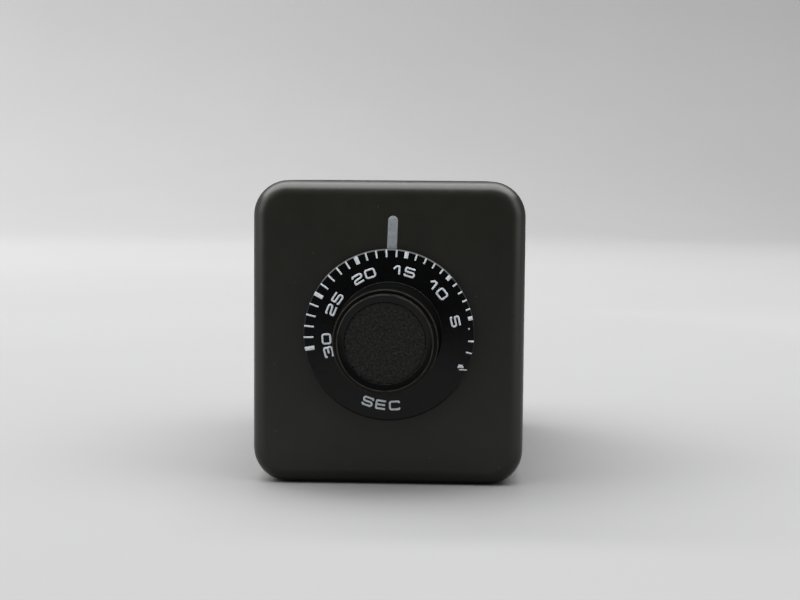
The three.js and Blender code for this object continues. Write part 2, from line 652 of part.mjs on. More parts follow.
function fixedContactGeometry(place) {
  const span = stripSpan(place);
  const strip = block([-BLADE.width / 2, BLADE.width / 2],
    [FIXED_CONTACT.stripFront, CONTACT_BLOCK.front - GAP], span);
  const tail = block([-FIXED_CONTACT.tailWidth / 2, FIXED_CONTACT.tailWidth / 2],
    [CONTACT_BLOCK.front - OVERLAP, FIXED_CONTACT.tailEnd], span);
  const height = BLADE.buttonRise + FIXED_CONTACT.stripThickness / 2;
  const button = rod(BLADE.buttonRadius, 0, height, SMALL_SEGMENTS).rotateX(Math.PI / 2);
  const foot = place.side > 0 ? place.face : place.face - height;
  return joined(strip, tail, button.translate(0, BLADE.buttonDepth, foot));
}

function bladeGeometry() {
  const { width, thickness, z, buttonRise } = BLADE;
  const strip = block([-width / 2, width / 2], [BLADE.start, BLADE.end], [z, z + thickness]);
  const height = thickness + 2 * buttonRise;
  const button = rod(BLADE.buttonRadius, 0, height, SMALL_SEGMENTS).rotateX(Math.PI / 2);
  return joined(strip, button.translate(0, BLADE.buttonDepth, z - buttonRise));
}

function contactBlockGeometry(bladeXs) {
  const { front, rear, top, slotGap } = CONTACT_BLOCK;
  const solid = block([RELAY_LEFT, RELAY_RIGHT], [front, rear], [RELAY.yokeTop + GAP, top]);
  const halfWidth = FIXED_CONTACT.tailWidth / 2 + slotGap;
  const slots = bladeXs.flatMap((x) => contactPlaces().map((place) => {
    const [low, high] = stripSpan(place);
    return block([x - halfWidth, x + halfWidth], [front - OVERLAP, rear + OVERLAP],
      [low - slotGap, high + slotGap]);
  }));
  return cut(solid, ...slots);
}

function springGeometry() {
  const { turns, start, end, radius } = SPRING;
  const perTurn = 8;
  const points = Array.from({ length: turns * perTurn + 1 }, (_, index) => {
    const angle = (index / perTurn) * Math.PI * 2;
    const y = start + ((end - start) * index) / (turns * perTurn);
    return [radius * Math.cos(angle), y, radius * Math.sin(angle)];
  });
  return wireAlong(points, SPRING.wire, 4, turns * perTurn);
}

function addContacts() {
  const bladeXs = [-1, 1].map((side) => RELAY.centreX + (side * RELAY.bladeSpacing) / 2);
  add('armature', armatureGeometry(), FINISH.steel);
  const carrierStart = ARMATURE_REAR + GAP;
  const carrier = block([RELAY_LEFT, RELAY_RIGHT], [carrierStart, carrierStart + CARRIER.depth],
    [CARRIER.bottom, BLADE.z - GAP]);
  add('contact_carrier', carrier, FINISH.phenolic);
  add('contact_block', contactBlockGeometry(bladeXs), FINISH.phenolic);
  add('return_spring', springGeometry(), FINISH.steel, SPRING.x, 0, SPRING.z);
  bladeXs.forEach((x, index) => {
    add(`moving_blade_${index + 1}`, bladeGeometry(), FINISH.brass, x);
    contactPlaces().forEach((place) => {
      add(`${place.name}_contact_${index + 1}`, fixedContactGeometry(place), FINISH.brass, x);
    });
  });
}

// --------------------------------------------------------------- electronics

// Axial part lying along z on the main board, its two leads bent into the board.
function axialPart(bodyRadius, bodyLength, pitch) {
  const lead = AXIAL_LEAD_RADIUS;
  const stand = bodyRadius + GAP;
  const barrel = rod(bodyRadius, -bodyLength / 2, bodyLength / 2, SMALL_SEGMENTS).rotateX(Math.PI / 2);
  const straight = rod(lead, -pitch / 2, pitch / 2, 8).rotateX(Math.PI / 2);
  const legs = [-1, 1].map((side) => {
    const z = (side * pitch) / 2;
    return block([-lead, stand - GAP], [-lead, lead], [z - lead, z + lead]);
  });
  return joined(barrel, straight, ...legs).translate(-stand, 0, 0);
}

// Canned electrolytic standing on end, with the groove that seals its rubber plug.
function electrolyticGeometry() {
  const { radius, length, endBevel, grooveStart, grooveEnd, grooveDepth } = ELECTROLYTIC;
  return turned([
    [0, 0], [radius - endBevel, 0], [radius, endBevel], [radius, grooveStart],
    [radius - grooveDepth, (grooveStart + grooveEnd) / 2], [radius, grooveEnd],
    [radius, length - endBevel], [radius - endBevel, length], [0, length]], 24);
}

function filmCapacitorGeometry() {
  const { height, length, width } = FILM_CAPACITOR;
  return block([-height, -GAP], [-length / 2, length / 2], [-width / 2, width / 2]);
}

function chipGeometry() {
  const { low, high, halfLength, halfWidth, pinPitch, pinWidth, pinsPerSide } = CHIP;
  const legs = [-1, 1].flatMap((side) => Array.from({ length: pinsPerSide }, (_, index) => {
    const y = (index - (pinsPerSide - 1) / 2) * pinPitch;
    const span = [side * CHIP.pinReach, side * (CHIP.pinReach - CHIP.pinThickness)];
    return block([-CHIP.pinTop, -GAP], [y - pinWidth / 2, y + pinWidth / 2],
      [Math.min(...span), Math.max(...span)]);
  }));
  const body = block([-high, -low], [-halfLength, halfLength], [-halfWidth, halfWidth]);
  return joined(body, ...legs);
}

// Transistor in a half-round case, lying towards -x on its three legs.
function transistorGeometry() {
  const { radius, legPitch, legWidth, legLength } = TRANSISTOR;
  const outline = new THREE.Shape();
  outline.absarc(0, 0, radius, -Math.PI / 9, (Math.PI * 10) / 9);
  const can = plate(outline, -radius, radius).rotateZ(-Math.PI / 2);
  const legs = [-1, 0, 1].map((step) => {
    const y = step * legPitch;
    return block([radius - SLIDE_GAP, radius + legLength], [y - legWidth / 2, y + legWidth / 2],
      [-legWidth / 2, legWidth / 2]);
  });
  return joined(can, ...legs).translate(-radius - legLength - GAP, 0, 0);
}

function discGeometry() {
  const { radius, thickness, legPitch, legWidth, stand } = DISC;
  const disc = rod(radius, -thickness / 2, thickness / 2, 20);
  const legs = [-1, 1].map((side) => {
    const z = (side * legPitch) / 2;
    return block([legPitch / 2, stand], [-legWidth / 2, legWidth / 2],
      [z - legWidth / 2, z + legWidth / 2]);
  });
  return joined(disc, ...legs).translate(-stand - GAP, 0, 0);
}

// The circuit's parts stand on the main board, on the side of the relay.
function addElectronics() {
  const onBoard = (name, geometry, look, y, z) => add(name, geometry, look, MAIN_BOARD_X, y, z);
  const electrolytic = electrolyticGeometry().translate(-ELECTROLYTIC.radius - GAP, 0, 0);
  onBoard('filter_capacitor', electrolytic, FINISH.blueSleeve, 30.5, 9);
  onBoard('timing_capacitor', filmCapacitorGeometry(), FINISH.greenCase, 36, 33);
  onBoard('timer_chip', chipGeometry(), FINISH.blackCase, 26, 26.5);
  onBoard('output_transistor', transistorGeometry(), FINISH.blackCase, 18.5, 33);
  onBoard('dropping_resistor', axialPart(2.4, 13, 17), FINISH.tanCeramic, 24, 12.6);
  onBoard('surge_suppressor', discGeometry(), FINISH.redDisc, 45.2, 9);
  for (const row of [0, 1]) {
    onBoard(`rectifier_diode_${row + 1}`, axialPart(1.35, 5.2, 10), FINISH.blackCase,
      36.5 + 4.2 * row, 22.4);
    onBoard(`timing_resistor_${row + 1}`, axialPart(1.2, 6.2, 10), FINISH.tanCeramic,
      14.4 + 3.4 * row, 20 - 9 * row);
  }
}

// --------------------------------------------------------------------- leads

// Insulated leads from the pins' solder cups, each one named after its pin. The
// routes are [x, depth, z] points from just in front of a cup to a terminal.
function addLeads() {
  const cup = INNER_FACE - PIN.inside - GAP;
  const straight = 0.5;
  const fromPin = (number, route) => {
    const { x, z } = pinPlace(number);
    const points = [[x, cup, z], [x, cup - straight, z], ...route];
    const lead = wireAlong(points, LEAD_RADIUS, 6, LEAD_STEPS * points.length);
    add(`lead_${number}`, lead, FINISH.leadJacket);
  };
  const under = 3.9; // z of the two leads that pass below the coil
  const rise = 20.5; // depth of the space in front of the armature
  fromPin(1, [[3.4, 47, 9], [3.7, 45.5, 4.6], [3.8, 42, under], [3.8, 25, under], [3.6, 20.8, 6],
    [3.2, rise, 16], [1, rise, 25], [-2.3, rise, 30.6], [-2.5, 22, 31.6], [-2.5, 24.2, 31.9]]);
  fromPin(2, [[9.4, 47, 16.9], [MAIN_BOARD_X - GAP, 46.8, 17]]);
  fromPin(3, [[7.4, 47.2, 27.4], [4, 46.8, 32.4], [-0.3, 46.2, 33.5]]);
  fromPin(4, [[1.6, 47.2, 28.6], [-0.3, 46.2, 28.5]]);
  fromPin(5, [[-5.4, 47.2, 28.6], [-7.3, 46.2, 28.5]]);
  fromPin(6, [[-11.6, 47.2, 26], [-12.8, 46.8, 30.6], [-11.6, 46.2, 33.4]]);
  fromPin(7, [[-5.6, 47.3, 19], [2, 47.3, 20.2], [MAIN_BOARD_X - GAP, 47.2, 20.4]]);
  fromPin(8, [[-3.9, 47.6, 9], [-4.2, 47.4, 5.6], [-4.3, 46, 4], [-4.3, 42, under], [-4.3, 25, under],
    [-4.6, 20.8, 6], [-6, rise, 16], [-9, rise, 25], [-9.5, rise, 30.6], [-9.5, 22, 31.6],
    [-9.5, 24.2, 31.9]]);
}

addHousing();
addKnob();
addPotentiometer();
addBoards();
addMagnet();
addContacts();
addElectronics();
addLeads();

export default root;
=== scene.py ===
"""Looks of a plug-in time-delay relay with a dial knob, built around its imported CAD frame.

Lengths are millimetres until a mesh is made, in the frame's own axes: +Z up, the knob
towards -Y, the plug pins towards +Y. A height over the face is measured towards -Y.
"""

import math

import bmesh
import bpy
from mathutils import Matrix, Vector, noise


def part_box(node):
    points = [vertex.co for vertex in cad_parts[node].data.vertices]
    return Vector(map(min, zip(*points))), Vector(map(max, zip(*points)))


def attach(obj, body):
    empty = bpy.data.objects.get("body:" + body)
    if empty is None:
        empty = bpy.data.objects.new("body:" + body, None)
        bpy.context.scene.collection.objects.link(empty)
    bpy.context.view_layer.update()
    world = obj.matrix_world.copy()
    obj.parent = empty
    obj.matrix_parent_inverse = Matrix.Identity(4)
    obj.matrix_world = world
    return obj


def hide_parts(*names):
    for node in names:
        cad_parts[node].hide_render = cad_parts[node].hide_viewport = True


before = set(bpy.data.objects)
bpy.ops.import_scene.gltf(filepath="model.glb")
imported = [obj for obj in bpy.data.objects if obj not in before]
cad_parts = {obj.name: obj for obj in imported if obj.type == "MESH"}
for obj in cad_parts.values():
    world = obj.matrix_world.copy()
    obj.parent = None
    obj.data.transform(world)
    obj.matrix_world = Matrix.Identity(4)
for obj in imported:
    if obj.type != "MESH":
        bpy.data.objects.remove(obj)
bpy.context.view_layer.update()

MM = 0.001
SHARP_DEGREES = 35  # edges that bend by more than this are shaded sharp


def box_mm(node):
    low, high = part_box(node)
    return low / MM, high / MM


# ---------------------------------------------------------------- driving dimensions

COVER_LOW, COVER_HIGH = box_mm("dust_cover")
BASE_LOW, BASE_HIGH = box_mm("plug_base")
KNOB_LOW, KNOB_HIGH = box_mm("knob")
INLAY_LOW, INLAY_HIGH = box_mm("knob_inlay")

FACE_Y = COVER_LOW.y
HALF_WIDTH = (COVER_HIGH.x - COVER_LOW.x) / 2
HALF_HEIGHT = (COVER_HIGH.z - COVER_LOW.z) / 2
MIDDLE_Z = (COVER_LOW.z + COVER_HIGH.z) / 2
DIAL_X = (KNOB_LOW.x + KNOB_HIGH.x) / 2
DIAL_Z = (KNOB_LOW.z + KNOB_HIGH.z) / 2

COVER_WALL = 1.3
COVER_FRONT_WALL = 1.6
CORNER_RADIUS = 4.65
SMALLEST_CORNER = 0.3
CORNER_STEPS = 10
EDGE_RADIUS = 2.0
EDGE_STEPS = 12
SHAFT_HOLE_RADIUS = 3.7
SNAP_WIDTH = 7.0
SNAP_LENGTH = 1.8
SNAP_INSET = 1.4

SKIRT_RADIUS = (KNOB_HIGH.x - KNOB_LOW.x) / 2
SKIRT_BACK = FACE_Y - KNOB_HIGH.y
KNOB_RISE = FACE_Y - KNOB_LOW.y
FOOT_RADIUS = 7.05
FOOT_HEIGHT = 1.7
SKIRT_EDGE_HEIGHT = 1.6
SHOULDER_RADIUS = 6.62
SHOULDER_HEIGHT = 11.1
RIM_RADIUS = 6.05
POCKET_RADIUS = 5.1
EDGE_STRIP = 0.16  # width of the flat land on each end edge, where the painted highlight ring sits
INLAY_HEIGHT = FACE_Y - INLAY_LOW.y
INLAY_THICKNESS = INLAY_HIGH.y - INLAY_LOW.y
BORE_RADIUS = 3.375
BORE_HEIGHT = 10.4

INK = 0.03  # thickness of a printed mark
INK_ROOT = 0.01  # how far a mark reaches into the surface
INK_SIDE = 0.6  # share of the thickness that a mark's sides rise upright
INK_LAYER = 0.004  # how far one stroke of a mark stands over the last, where they cross
PRINT_OFFSET = 0.34  # the printed scale sits a little to one side of the dial's middle
FIRST_SECONDS = 5
LAST_SECONDS = 30
NUMERAL_STEP = 5
NUMERAL_RADIUS = 8.5
TICK_START = 10.2
TICK_END = 11.12
TICK_WIDTH = 0.22
LONG_TICK_WIDTH = 0.52
THIN_TICK_WIDTH = 0.2
UNIT_RADIUS = 9.22
UNIT_ANGLE = 188.1  # degrees clockwise from up
UNIT_ADVANCE = 1.77
STOP_RADIUS = 9.95
STOP_ANGLE = 114.9  # degrees clockwise from up
STOP_SIZE = 0.45  # radius of the stop mark's half disc
SCALE_ZERO = 109.05  # degrees clockwise from up, for no delay
SCALE_STEP = 6.2265  # degrees for each second, at the start of the scale
SCALE_BEND = 0.0245  # degrees by which the steps open out, for each second squared
GLYPH_HEIGHT = 1.28
GLYPH_WIDTH = 1.46
GLYPH_STROKE = 0.25
GLYPH_ADVANCE = 1.72
INDEX_WIDTH = 1.28
INDEX_START = 10.95  # over the dial's axis, as is its end
INDEX_END = 15.5
INDEX_OFFSET = 0.24  # to the side of the dial's axis
INDEX_LEAN = 1.8  # degrees

SINK = 0.5  # how far a shape of the base reaches into the one that it is joined to
PIN_COUNT = 8
PIN_CIRCLE = 8.73
PIN_RADIUS = 1.18
CUP_RADIUS = 0.7
CUP_DEPTH = 1.5
SEAT_RADIUS = 13.0
POST_RADIUS = 3.95
FLANGE_FRONT = COVER_HIGH.y + 0.2
FLANGE_REAR = FLANGE_FRONT + 3.0
SEAT_REAR = FLANGE_REAR + 0.8
SEAT_GROOVE_RADIUS = 12.5  # outer edge of the groove in the seat
POST_BEVEL = 0.9
KEY_WIDTH = 1.9
KEY_RISE = 1.1
KEY_LENGTH = 13.0
PIN_NUMBER_RADIUS = 11.25
PIN_NUMBER_SCALE = 0.9
PIN_NUMBER_RELIEF = 8  # times the thickness of a printed mark

CAMERA_PLACE = (10.06, -237.7, 40.35)
CAMERA_LENS = 71.8
CAMERA_DOWN = 4.34  # degrees, as are the next two
CAMERA_LEFT = 2.34
CAMERA_ROLL = 0.45


# ----------------------------------------------------------------------- mesh helpers

def make_piece(name, points, faces, material, body, sharp_degrees=SHARP_DEGREES):
    """A mesh piece in millimetre points, welded, facing out, and riding on a CAD body."""
    mesh = bpy.data.meshes.new(name)
    mesh.from_pydata([Vector(p) * MM for p in points], [], faces)
    solid = bmesh.new()
    solid.from_mesh(mesh)
    bmesh.ops.remove_doubles(solid, verts=solid.verts, dist=0.0005 * MM)
    bmesh.ops.recalc_face_normals(solid, faces=solid.faces)
    solid.to_mesh(mesh)
    solid.free()
    mesh.shade_smooth()
    mesh.set_sharp_from_angle(angle=math.radians(sharp_degrees))
    mesh.materials.append(material)
    piece = bpy.data.objects.new(name, mesh)
    bpy.context.scene.collection.objects.link(piece)
    if body:
        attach(piece, body)
    return piece


class Skin:
    """Points and faces gathered from several closed shells."""

    def __init__(self):
        self.points = []
        self.faces = []

    def add(self, points, faces):
        start = len(self.points)
        self.points.extend(points)
        self.faces.extend([tuple(start + i for i in face) for face in faces])

    def loft(self, loops, wrap=False):
        """A skin through loops of equally many points: capped at both ends, or wrapped round."""
        count = len(loops[0])
        points = [p for loop in loops for p in loop]
        faces = []
        last = len(loops) if wrap else len(loops) - 1
        for row in range(last):
            here = row * count
            there = ((row + 1) % len(loops)) * count
            for i in range(count):
                j = (i + 1) % count
                faces.append((here + i, here + j, there + j, there + i))
        if not wrap:
            faces.append(tuple(range(count)))
            faces.append(tuple(range((len(loops) - 1) * count, len(loops) * count)))
        self.add(points, faces)
        return self

    def turn(self, profile, centre, segments=96, wrap=False):
        """A solid turned about the line along Y through centre (x, z), from (radius, y) points."""
        loops = [
            [
                (
                    centre[0] + radius * math.sin(math.tau * i / segments),
                    y,
                    centre[1] + radius * math.cos(math.tau * i / segments),
                )
                for i in range(segments)
            ]
            for radius, y in profile
        ]
        return self.loft(loops, wrap)

    def piece(self, name, material, body, sharp_degrees=SHARP_DEGREES):
        return make_piece(name, self.points, self.faces, material, body, sharp_degrees)


def filleted(points, radius, steps=6, closed=True):
    """The 2-D outline with its corners turned into arcs. A point may carry its own radius."""
    result = []
    count = len(points)
    for i, point in enumerate(points):
        corner = Vector(point[:2])
        own = point[2] if len(point) > 2 else radius
        if own <= 0 or (not closed and i in (0, count - 1)):
            result.append(tuple(corner))
            continue
        to_before = Vector(points[i - 1][:2]) - corner
        to_after = Vector(points[(i + 1) % count][:2]) - corner
        half = to_before.angle(to_after) / 2
        reach = own / math.tan(half)
        reach = min(reach, to_before.length * 0.499, to_after.length * 0.499)  # half a side at most
        size = reach * math.tan(half)
        before, after = to_before.normalized(), to_after.normalized()
        middle = corner + (before + after).normalized() * (size / math.sin(half))
        first = corner + before * reach - middle
        final = corner + after * reach - middle
        sweep = math.pi - 2 * half
        for k in range(steps + 1):
            share = k / steps
            near = first * math.sin((1 - share) * sweep)
            far = final * math.sin(share * sweep)
            result.append(tuple(middle + (near + far) / math.sin(sweep)))
    return result


def rounded_rectangle(half_width, half_height, radius):
    corners = [
        (half_width, half_height),
        (-half_width, half_height),
        (-half_width, -half_height),
        (half_width, -half_height),
    ]
    return filleted(corners, radius, CORNER_STEPS)


def cover_loop(inset, y):
    """The cover's outline at one depth, pulled in by inset all round."""
    radius = max(CORNER_RADIUS - inset, SMALLEST_CORNER)
    outline = rounded_rectangle(HALF_WIDTH - inset, HALF_HEIGHT - inset, radius)
    return [(x, y, MIDDLE_Z + z) for x, z in outline]


def combine(piece, operation, others):
    """Joins the other shapes to the piece or cuts them out of it, and removes them."""
    for other in others:
        modifier = piece.modifiers.new("combine", "BOOLEAN")
        modifier.operation = operation
        modifier.solver = "EXACT"
        modifier.object = other
    bpy.context.view_layer.update()
    graph = bpy.context.evaluated_depsgraph_get()
    made = bpy.data.meshes.new_from_object(piece.evaluated_get(graph))
    piece.modifiers.clear()
    piece.data = made
    made.shade_smooth()
    made.set_sharp_from_angle(angle=math.radians(SHARP_DEGREES))
    for other in others:
        bpy.data.objects.remove(other)


def box_cutter(low, high):
    (x0, y0, z0), (x1, y1, z1) = low, high
    loops = [[(x0, y0, z), (x1, y0, z), (x1, y1, z), (x0, y1, z)] for z in (z0, z1)]
    return Skin().loft(loops).piece("cutter", None, None)


# -------------------------------------------------------------------------- materials

class Finish:
    """A Principled material whose colour, roughness and bump come from procedural nodes."""

    def __init__(self, name, roughness=0.5, metallic=0.0, specular=0.5):
        self.material = bpy.data.materials.new(name)
        self.material.use_nodes = True
        self.tree = self.material.node_tree
        self.shader = self.tree.nodes["Principled BSDF"]
        self.shader.inputs["Roughness"].default_value = roughness
        self.shader.inputs["Metallic"].default_value = metallic
        self.shader.inputs["Specular IOR Level"].default_value = specular
        self.place = self.tree.nodes.new("ShaderNodeTexCoord").outputs["Object"]
        self.normal = None

    def link(self, output, node, name):
        self.tree.links.new(output, node.inputs[name])

    def stretched(self, x, y, z):
        """Object coordinates scaled along each axis, for streaks and brushing."""
        mapping = self.tree.nodes.new("ShaderNodeMapping")
        mapping.inputs["Scale"].default_value = (x, y, z)
        self.link(self.place, mapping, "Vector")
        return mapping.outputs["Vector"]

    def noise(self, size, detail=4.0, rough=0.55, vector=None):
        """Noise whose features are about size millimetres across."""
        node = self.tree.nodes.new("ShaderNodeTexNoise")
        node.inputs["Scale"].default_value = 1 / (size * MM)
        node.inputs["Detail"].default_value = detail
        node.inputs["Roughness"].default_value = rough
        self.link(vector or self.place, node, "Vector")
        return node.outputs["Fac"]

    def cells(self, size):
        """Distance to the nearest of many scattered points, about size millimetres apart."""
        node = self.tree.nodes.new("ShaderNodeTexVoronoi")
        node.inputs["Scale"].default_value = 1 / (size * MM)
        self.link(self.place, node, "Vector")
        return node.outputs["Distance"]

    def ramp(self, value, *stops):
        """Maps a value through (position, colour or number) stops."""
        node = self.tree.nodes.new("ShaderNodeValToRGB")
        band = node.color_ramp
        while len(band.elements) < len(stops):
            band.elements.new(0.5)
        for element, (position, colour) in zip(band.elements, stops):
            element.position = position
            grey = isinstance(colour, (int, float))
            element.color = (colour, colour, colour, 1) if grey else (*colour, 1)
        self.link(value, node, "Fac")
        return node.outputs["Color"]

    def speckled(self, share, ground, speck):
        """A ground colour with a second one over it wherever share, a texture, is high."""
        node = self.tree.nodes.new("ShaderNodeMix")
        node.data_type = "RGBA"
        factor, first, second = node.inputs[0], node.inputs[6], node.inputs[7]
        self.tree.links.new(share, factor)
        self.tree.links.new(ground, first)
        second.default_value = (*speck, 1)
        return self.colour(node.outputs[2])

    def colour(self, output):
        self.link(output, self.shader, "Base Color")
        return self

    def mottled(self, colour, size=6.0, spread=0.12):
        """A base colour that varies a little from place to place."""
        dark = tuple(c * (1 - spread) for c in colour)
        light = tuple(c * (1 + spread) for c in colour)
        return self.colour(self.ramp(self.noise(size), (0.3, dark), (0.7, light)))

    def rough(self, output, low, high):
        """Roughness between two values, driven by a texture that mostly lies from 0.3 to 0.7."""
        node = self.tree.nodes.new("ShaderNodeMapRange")
        node.inputs["From Min"].default_value = 0.3
        node.inputs["From Max"].default_value = 0.7
        node.inputs["To Min"].default_value = low
        node.inputs["To Max"].default_value = high
        self.link(output, node, "Value")
        self.link(node.outputs["Result"], self.shader, "Roughness")
        return self

    def bump(self, output, depth, strength=1.0):
        """Adds relief: depth is the height of the texture in millimetres."""
        node = self.tree.nodes.new("ShaderNodeBump")
        node.inputs["Strength"].default_value = strength
        node.inputs["Distance"].default_value = depth * MM
        self.link(output, node, "Height")
        if self.normal:
            self.link(self.normal, node, "Normal")
        self.normal = node.outputs["Normal"]
        self.link(self.normal, self.shader, "Normal")
        return self

    def done(self):
        return self.material


def cover_plastic():
    finish = Finish("cover_plastic", roughness=0.32, specular=0.3)
    shade = finish.noise(9)
    plastic = finish.ramp(shade, (0.3, (0.0094, 0.0092, 0.0075)), (0.7, (0.0112, 0.011, 0.009)))
    dust = finish.ramp(finish.cells(2.6), (0.02, 1.0), (0.045, 0.0))
    finish.speckled(dust, plastic, (0.045, 0.043, 0.038))
    finish.rough(finish.noise(1.6, detail=6), 0.29, 0.35)
    finish.bump(finish.noise(0.5, detail=4), 0.0015)
    return finish.done()


def knob_plastic():
    finish = Finish("knob_plastic", roughness=0.25, specular=0.2)
    finish.mottled((0.0012, 0.0013, 0.0015), size=4, spread=0.15)
    finish.rough(finish.noise(1.2, detail=6), 0.22, 0.28)
    finish.bump(finish.noise(0.5, detail=4), 0.001)
    return finish.done()


def knob_side():
    """The knob's grip: the same plastic with a fine matt grain."""
    finish = Finish("knob_side", roughness=0.62, specular=0.0)
    finish.mottled((0.0018, 0.0018, 0.0018), size=3, spread=0.2)
    finish.rough(finish.noise(0.8, detail=6), 0.55, 0.7)
    finish.bump(finish.noise(0.15, detail=3), 0.006)
    return finish.done()


def knob_edge():
    """The knob's two end edges: a painted highlight, a lighter matt brownish grey in place of the shine
    along each edge.
    """
    finish = Finish("knob_edge", roughness=0.6, specular=0.0)
    patchy = finish.noise(1.4, detail=6)
    finish.colour(finish.ramp(patchy, (0.3, (0.014, 0.0127, 0.01)), (0.7, (0.033, 0.03, 0.024))))
    finish.rough(finish.noise(0.4), 0.4, 0.6)
    finish.bump(finish.noise(0.2), 0.004)
    return finish.done()


def inlay_texture():
    finish = Finish("inlay_texture", roughness=0.65, specular=0.12)
    specks = finish.noise(0.3, detail=4, rough=0.75)
    finish.colour(finish.ramp(specks, (0.42, (0.0028, 0.0027, 0.0027)), (0.7, (0.021, 0.0195, 0.018))))
    finish.rough(finish.noise(0.3), 0.5, 0.75)
    finish.bump(specks, 0.02)
    finish.bump(finish.noise(0.1, detail=2), 0.015)
    return finish.done()


def dial_ink():
    finish = Finish("dial_ink", roughness=0.55)
    patchy = finish.noise(0.35, detail=5)
    finish.colour(finish.ramp(patchy, (0.28, (0.32, 0.355, 0.38)), (0.6, (0.5, 0.535, 0.56))))
    finish.bump(finish.noise(0.1), 0.004)
    return finish.done()


def index_ink():
    finish = Finish("index_ink", roughness=0.5)
    patchy = finish.noise(0.5, detail=5)
    finish.colour(finish.ramp(patchy, (0.3, (0.134, 0.153, 0.164)), (0.65, (0.19, 0.208, 0.222))))
    finish.bump(finish.noise(0.12), 0.005)
    return finish.done()


def base_phenolic():
    finish = Finish("base_phenolic", roughness=0.42)
    finish.mottled((0.011, 0.0105, 0.01), size=3, spread=0.25)
    finish.rough(finish.noise(2.0, detail=6), 0.36, 0.55)
    finish.bump(finish.noise(0.4, detail=5), 0.006)
    return finish.done()


def metal(name, colour, low, high, grain=0.5, stretch=(1, 1, 1)):
    finish = Finish(name, roughness=(low + high) / 2, metallic=1.0)
    finish.mottled(colour, size=2.5, spread=0.1)
    brushed = finish.noise(grain, detail=5, vector=finish.stretched(*stretch))
    finish.rough(brushed, low, high)
    finish.bump(brushed, 0.003)
    return finish.done()


def plain_plastic(name, colour, low, high, spread=0.12):
    finish = Finish(name, roughness=(low + high) / 2)
    finish.mottled(colour, size=2.5, spread=spread)
    finish.rough(finish.noise(0.8, detail=5), low, high)
    finish.bump(finish.noise(0.3, detail=4), 0.004)
    return finish.done()


def copper_winding():
    finish = Finish("copper_winding", roughness=0.32, metallic=0.7)
    bands = finish.noise(0.25, detail=2, vector=finish.stretched(0.02, 1, 0.02))
    finish.colour(finish.ramp(bands, (0.35, (0.16, 0.035, 0.012)), (0.65, (0.45, 0.13, 0.045))))
    finish.bump(bands, 0.05)
    return finish.done()


def board_laminate():
    finish = Finish("board_laminate", roughness=0.45)
    weave = finish.noise(0.45, detail=3)
    finish.colour(finish.ramp(weave, (0.35, (0.12, 0.13, 0.028)), (0.65, (0.22, 0.21, 0.06))))
    finish.rough(finish.noise(1.5), 0.38, 0.55)
    finish.bump(weave, 0.01)
    return finish.done()


# ------------------------------------------------------------------------------ cover

def build_cover(material):
    rear = COVER_HIGH.y
    outline = cover_loop(EDGE_RADIUS, FACE_Y)

    def hole_loop(y):
        loop = []
        for x, _, z in outline:
            direction = Vector((x - DIAL_X, z - DIAL_Z)).normalized() * SHAFT_HOLE_RADIUS
            loop.append((DIAL_X + direction.x, y, DIAL_Z + direction.y))
        return loop

    fillet = []
    for k in range(EDGE_STEPS + 1):
        turn = math.radians(90) * k / EDGE_STEPS
        inset = EDGE_RADIUS * (1 - math.sin(turn))
        fillet.append(cover_loop(inset, FACE_Y + EDGE_RADIUS * (1 - math.cos(turn))))
    rim = 0.2
    inner_bevel = 0.8
    outside = [cover_loop(0, rear - rim), cover_loop(rim, rear)]
    inside_front = FACE_Y + COVER_FRONT_WALL
    inside = [
        cover_loop(COVER_WALL - rim / 2, rear),
        cover_loop(COVER_WALL, rear - rim / 2),
        cover_loop(COVER_WALL, inside_front + inner_bevel),
        cover_loop(COVER_WALL + inner_bevel, inside_front),
    ]
    loops = [hole_loop(FACE_Y), *fillet, *outside, *inside, hole_loop(inside_front)]
    cover = Skin().loft(loops, wrap=True).piece("cover_shell", material, None)
    windows = []
    for side in (-1, 1):
        wall = side * HALF_WIDTH
        end = rear - SNAP_INSET
        low = (wall - 2 * COVER_WALL, end - SNAP_LENGTH, MIDDLE_Z - SNAP_WIDTH / 2)
        high = (wall + 2 * COVER_WALL, end, MIDDLE_Z + SNAP_WIDTH / 2)
        windows.append(box_cutter(low, high))
    combine(cover, "DIFFERENCE", windows)
    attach(cover, "housing")
    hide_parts("dust_cover")


# ------------------------------------------------------------------- printed markings

def stroke_edges(path, width, closed):
    """Left and right edges of a flat stroke along a 2-D path."""
    count = len(path)
    left, right = [], []
    for i, point in enumerate(path):
        here = Vector(point)
        before = Vector(path[i - 1]) if i or closed else None
        after = Vector(path[(i + 1) % count]) if i < count - 1 or closed else None
        into = (here - before).normalized() if before else None
        out = (after - here).normalized() if after else None
        along = into + out if into and out else into or out
        along.normalize()
        normal = Vector((-along.y, along.x))
        square = Vector((-(into or out).y, (into or out).x))
        half = width / 2 / max(normal.dot(square), 0.4)  # the limit keeps sharp bends from flaring
        left.append(here + normal * half)
        right.append(here - normal * half)
    return left, right


def add_stroke(skin, place, path, width, closed=False, lift=0.0):
    """Adds a stroke of ink: place maps (across, out, height) on to the printed surface."""
    left, right = stroke_edges(path, width, closed)
    crown = 0.82
    loops = []
    for a, b in zip(left, right):
        middle = (a + b) / 2
        inner_a = middle + (a - middle) * crown
        inner_b = middle + (b - middle) * crown
        top = INK + lift
        side = top * INK_SIDE
        corners = [(a, -INK_ROOT), (a, side), (inner_a, top), (inner_b, top), (b, side), (b, -INK_ROOT)]
        loops.append([place(p.x, p.y, h) for p, h in corners])
    skin.loft(loops, wrap=closed)


